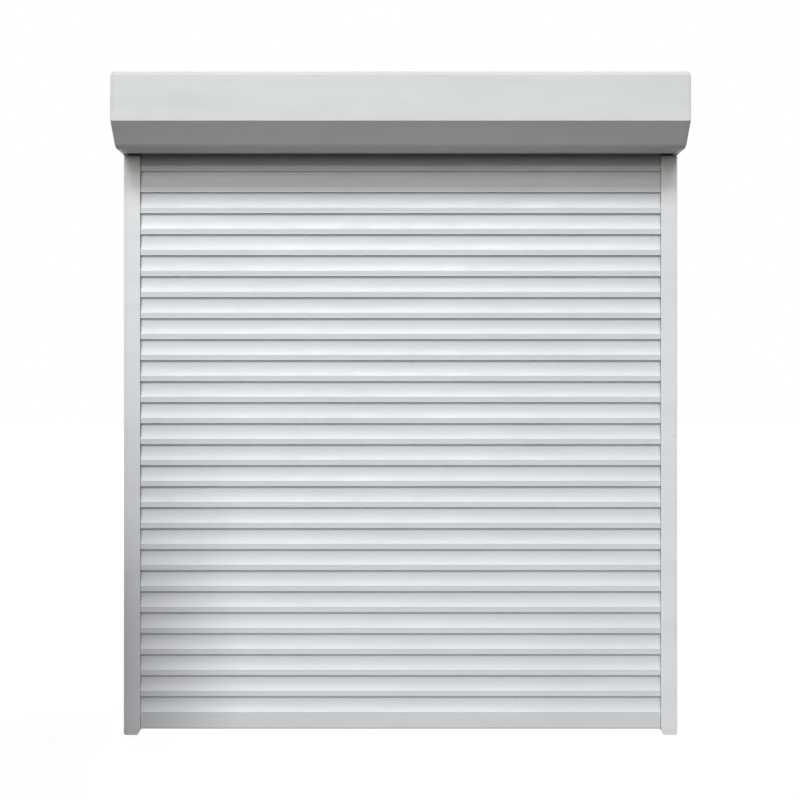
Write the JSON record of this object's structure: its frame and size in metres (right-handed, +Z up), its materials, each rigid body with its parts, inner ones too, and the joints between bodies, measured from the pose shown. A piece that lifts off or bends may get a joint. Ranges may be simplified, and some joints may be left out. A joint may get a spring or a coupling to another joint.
{
  "type": "roller shutter door",
  "caption": "Wall-mounted roller shutter door: interlocked hollow slats in two guide rails, wound on a motor barrel in a box with a sloped front edge",
  "frame": {"origin": "on the floor, midway across the door and midway through the depth of the box", "axes": "+X to the right seen from the front, +Y towards the wall, +Z up"},
  "size_m": [2.026, 0.255, 2.3774],
  "materials": {
    "rail_coating": "satin",
    "box_coating": "satin",
    "slat_coating": "satin",
    "bar_coating": "satin",
    "cap_plastic": "satin",
    "seal_strip": "matte",
    "seal_rubber": "matte",
    "zinc_steel": "satin",
    "galvanised_tube": "satin",
    "spring_steel": "satin",
    "bearing_steel": "polished",
    "die_cast": "matte",
    "motor_coating": "satin",
    "black_plastic": "matte",
    "roller_plastic": "satin"
  },
  "bodies": {
    "frame": {"guide_rail_left": "rail_coating", "guide_rail_right": "rail_coating", "rail_seals": "seal_strip", "rail_hole_plugs": "cap_plastic", "rail_feet": "cap_plastic", "end_cap_left": "box_coating", "end_cap_right": "box_coating", "box_front_cover": "box_coating", "box_rear_cover": "box_coating", "box_bottom_cover": "box_coating", "box_screws": "zinc_steel", "inlet_guide_left": "black_plastic", "inlet_guide_right": "black_plastic", "motor_bracket": "zinc_steel", "motor_head": "black_plastic", "motor_casing": "motor_coating", "bearing_housing": "zinc_steel", "bearing_outer_ring": "bearing_steel"},
    "curtain": {"slat_01": "slat_coating", "slat_02": "slat_coating", "slat_03": "slat_coating", "slat_04": "slat_coating", "slat_05": "slat_coating", "slat_06": "slat_coating", "slat_07": "slat_coating", "slat_08": "slat_coating", "slat_09": "slat_coating", "slat_10": "slat_coating", "slat_11": "slat_coating", "slat_12": "slat_coating", "slat_13": "slat_coating", "slat_14": "slat_coating", "slat_15": "slat_coating", "slat_16": "slat_coating", "slat_17": "slat_coating", "slat_18": "slat_coating", "slat_19": "slat_coating", "slat_20": "slat_coating", "slat_21": "slat_coating", "slat_22": "slat_coating", "slat_23": "slat_coating", "slat_24": "slat_coating", "slat_25": "slat_coating", "slat_26": "slat_coating", "slat_27": "slat_coating", "slat_end_locks": "black_plastic", "bottom_bar_left": "bar_coating", "bottom_bar_right": "bar_coating", "bottom_bar_splice": "zinc_steel", "bottom_bar_end_guides": "black_plastic", "bottom_seal": "seal_rubber", "suspension_straps": "spring_steel"},
    "barrel": {"barrel_tube": "galvanised_tube", "motor_crown": "black_plastic", "drive_wheel": "die_cast", "idler_cap": "die_cast", "idler_pin": "zinc_steel", "bearing_inner_ring": "bearing_steel"},
    "roller_left": {"inlet_roller_left": "roller_plastic"},
    "roller_right": {"inlet_roller_right": "roller_plastic"}
  },
  "joints": [
    {"name": "curtain_lift", "type": "slide", "parent": "frame", "child": "curtain", "axis": [0, 0, 1], "range_m": [-0.02, 0.22], "deforming": ["suspension_straps"]},
    {"name": "barrel_turn", "type": "hinge", "parent": "frame", "child": "barrel", "pos_m": [0, 0, 2.2475], "axis": [1, 0, 0], "range_deg": [-31, 334]},
    {"name": "left_roller_turn", "type": "hinge", "parent": "frame", "child": "roller_left", "pos_m": [-0.977, 0.094, 2.178], "axis": [1, 0, 0], "continuous": true},
    {"name": "right_roller_turn", "type": "hinge", "parent": "frame", "child": "roller_right", "pos_m": [0.977, 0.094, 2.178], "axis": [1, 0, 0], "continuous": true}
  ],
  "couplings": [
    {"joint": "barrel_turn", "follows": "curtain_lift", "rad_per_m": 26.482}
  ]
}
